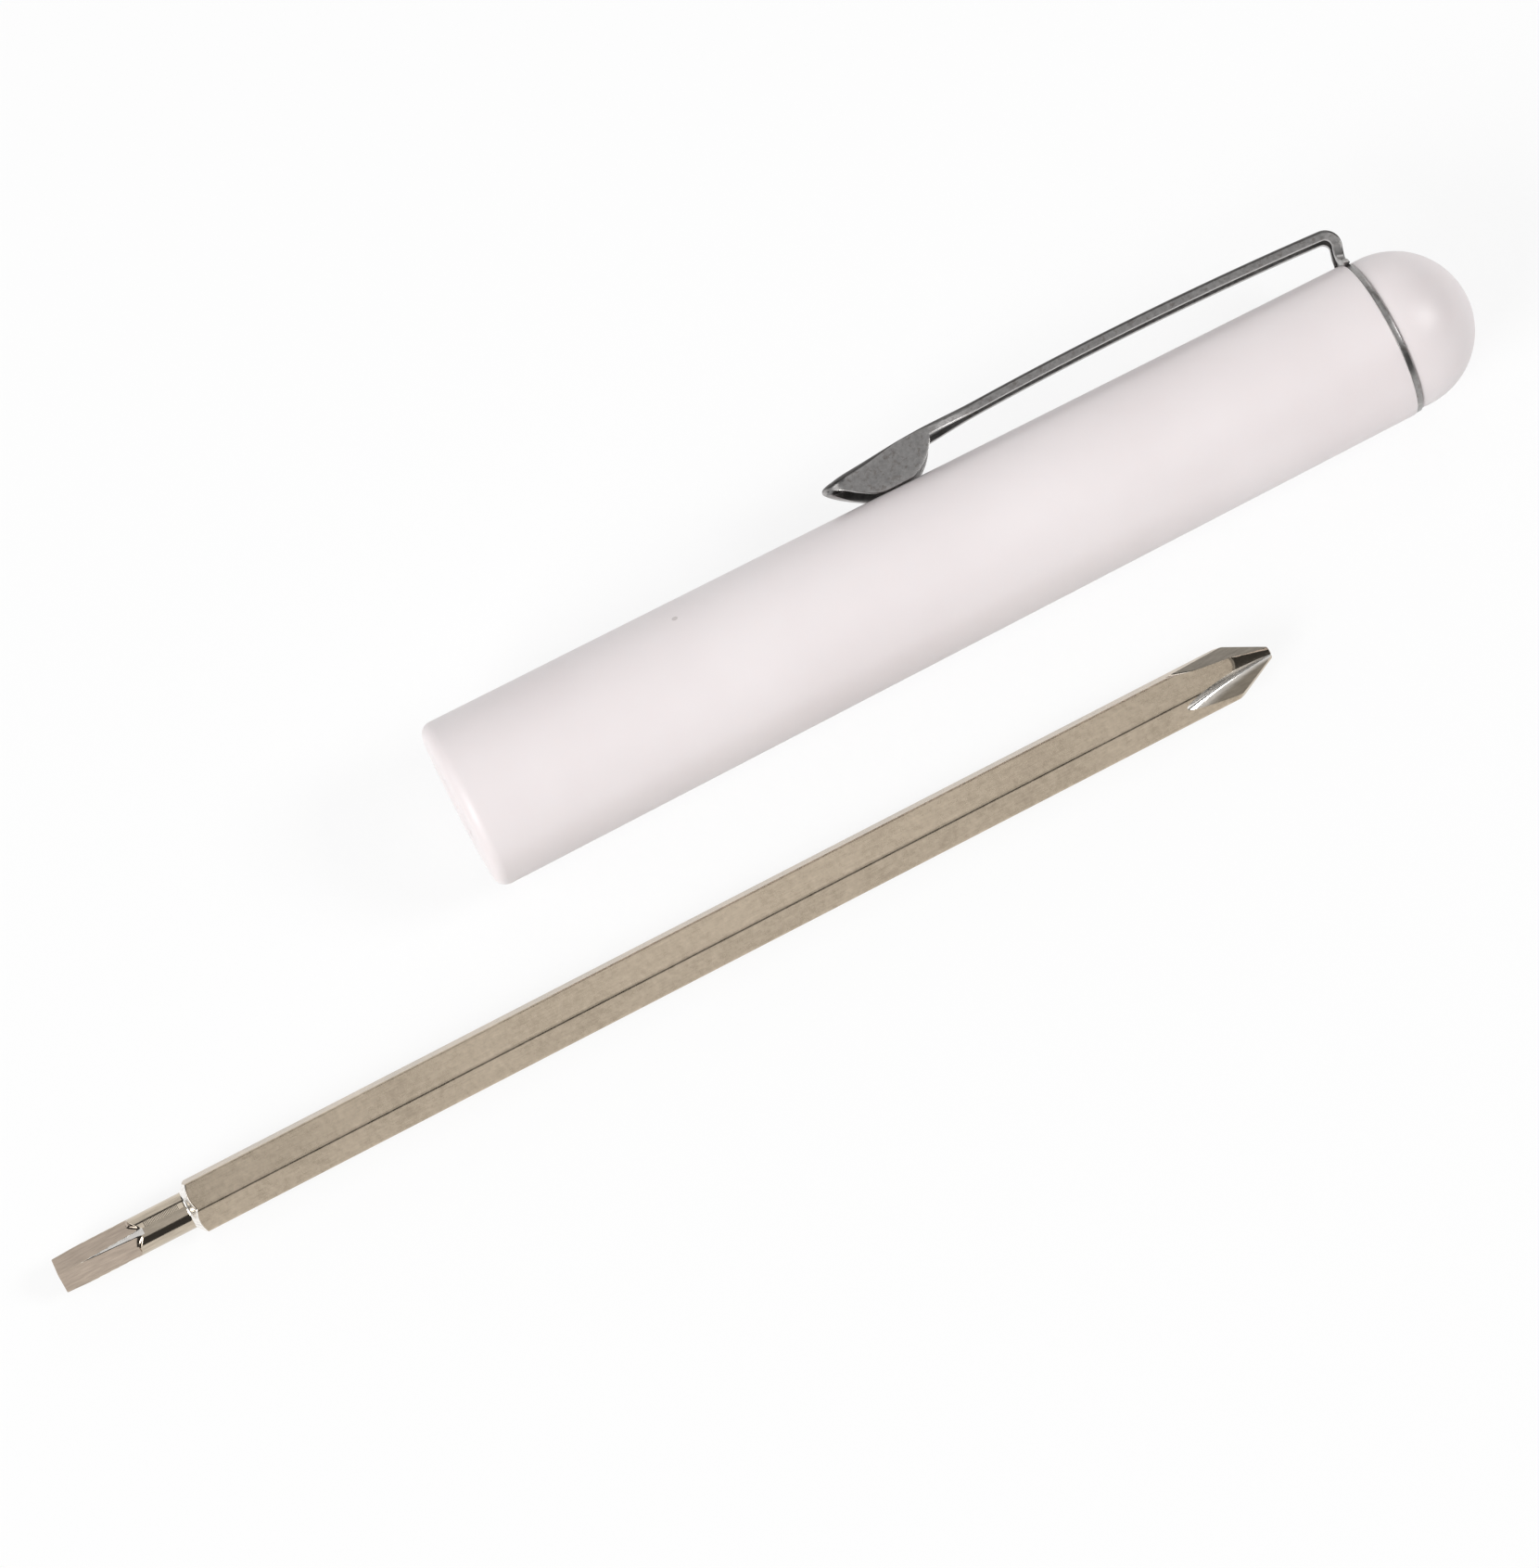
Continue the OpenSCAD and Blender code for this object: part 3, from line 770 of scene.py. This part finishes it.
def section(x):
    """Angles and radii of the outline at a distance from the square end, and which of them
    are on a flute's edge and which in a flute. The nearest angles are moved onto the edges,
    to keep them crisp."""
    theta = np.linspace(0, math.tau, around, endpoint=False)
    fine = np.linspace(0, math.tau, around * finer, endpoint=False)
    inside = flute_wall(fine, x) < bar_body(fine, x)
    edge = np.zeros(around, bool)
    for i in np.flatnonzero(inside != np.roll(inside, 1)):
        k = int(round(fine[i] / math.tau * around)) % around
        theta[k] = fine[i] - (math.tau if k == 0 and fine[i] > math.pi else 0)
        edge[k] = True
    body, wall = bar_body(theta, x), flute_wall(theta, x)
    return theta, np.minimum(body, wall), edge, edge | (wall < body)


def cut_share(x, theta, radii):
    """How the metal is finished outside the flutes: 0 where it is plated, else a share, which
    fades in where the cut is only a few hundredths of a millimetre deep."""
    kind = np.full(around, turned_share)
    if x < cone_from - cone_slack:
        scoop_end = square_len + run_least + scoop_share * run_more
        scoop = (x < scoop_end) & (from_corner(theta) < scoop_half)
        kind[scoop | (x < square_len)] = ground_share
        kind[radii < neck_r - neck_slack] = milled_share
    elif x < neck_end + cone_bright:
        kind[:] = ground_share
    return kind * np.clip((hexagon(theta) - radii - cut_from) / cut_fade, 0, 1)


def flute_painted_light(theta):
    """Painted light in a flute: a painted highlight in the one at the front, with painted shade
    on its lower wall and in the others."""
    front = (theta > front_from) & (theta < math.tau + cross_turn)
    lower = np.clip(-from_valley(theta) / lower_run, 0, 1)
    return np.where(front, ground_share - lower_painted_shade * lower, flute_painted_shade_share)


# Rings of points along the blade: close together at the scoops, the cone and the point
cone_start, cone_stop, tip_start = cone_from - 0.3, neck_end + 0.5, bar_len - tip_len
spans = (
    (0, square_len, 34), (square_len, run_end, 44), (run_end, cone_start, 7),
    (cone_start, cone_stop, 46), (cone_stop, tip_start, 12), (tip_start, bar_len, 200),
)
stations = np.concatenate([np.linspace(a, b, n)[1:] for a, b, n in spans])[:-1]
rings = [(0.0, 0.0, end_break), (end_break, 0.0, 0.0)]
rings += [(x, x, 0.0) for x in stations]
rings += [(bar_len - end_break, bar_len - end_break, 0.0), (bar_len, bar_len, end_break)]
verts, faces, cuts, fluted_painted_light, edges = [], [], [], [], []
for x, shape_at, less in rings:
    theta, radii, edge, in_flute = section(shape_at)
    edges.append(edge)
    # The flutes' painted highlight and painted shade, for each point
    fluted_painted_light += list(np.where(in_flute, flute_painted_light(theta), 0.0))
    cuts += list(cut_share(x, theta, radii))
    verts += [
        (x - beyond, bar_y + (r - less) * math.sin(a), bar_z + (r - less) * math.cos(a))
        for r, a in zip(radii, theta)
    ]

# Between two rings, a quad that a flute's edge crosses is split along that edge
for i in range(len(rings) - 1):
    a, b = i * around, (i + 1) * around
    for k in range(around):
        n = (k + 1) % around
        if edges[i][k] and edges[i + 1][n]:
            faces += [(a + k, a + n, b + n), (a + k, b + n, b + k)]
        elif edges[i][n] and edges[i + 1][k]:
            faces += [(a + k, a + n, b + k), (a + n, b + n, b + k)]
        else:
            faces.append((a + k, a + n, b + n, b + k))
for ring, x, kind in ((0, 0.0, milled_share), (len(rings) - 1, bar_len, turned_share)):
    first = ring * around
    faces += [(len(verts), first + k, first + (k + 1) % around) for k in range(around)]
    verts.append((x - beyond, bar_y, bar_z))
    cuts.append(kind)
    fluted_painted_light.append(0.0)

flutes = []
for face in faces:
    shares = [fluted_painted_light[v] for v in face]
    flutes.append(sum(shares) / len(shares) if min(shares) > 0 else 0.0)
mesh = bpy.data.meshes.new("blade_bar")
mesh.from_pydata([[c * MM for c in v] for v in verts], [], faces)
mesh.attributes.new("cut", "FLOAT", "POINT").data.foreach_set("value", cuts)
# The share "flute" holds the flutes' painted highlight and painted shade
mesh.attributes.new("flute", "FLOAT", "FACE").data.foreach_set("value", flutes)
mesh.materials.append(blade_nickel)
outward(mesh, blade_crisp)
blade = bpy.data.objects.new("blade_bar", mesh)
scene.collection.objects.link(blade)
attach(blade, "blade")
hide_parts("blade")

# ---------------------------------------------------------------- turning marks on the neck
# The lathe tool left fine ridges around the neck between the square and the cone. They are
# a thin sleeve on it, whose ridges stand out by a few thousandths of a millimetre.
mark_first, mark_last, mark_pitch = 8.75, 12.3, 0.127
ridge, proud, under, per_ridge = 0.0016, 0.001, 0.1, 6
around_neck = 120
count = int((mark_last - mark_first) / mark_pitch) * per_ridge
profile = [(mark_first, neck_r - under)]
for i in range(count + 1):
    wave = ridge * (1 - math.cos(math.tau * i / per_ridge))
    profile.append((mark_first + i * mark_pitch / per_ridge, neck_r + proud + wave))
profile += [(profile[-1][0], neck_r - under), profile[0]]
at_blade = Matrix.Translation(Vector((-beyond, bar_y, bar_z)) * MM)
marks = turned("neck_turning_marks", profile, around_neck, blade_nickel, place=at_blade)
shares = marks.data.attributes.new("cut", "FLOAT", "POINT")
shares.data.foreach_set("value", [turned_share] * len(marks.data.vertices))
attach(marks, "blade")
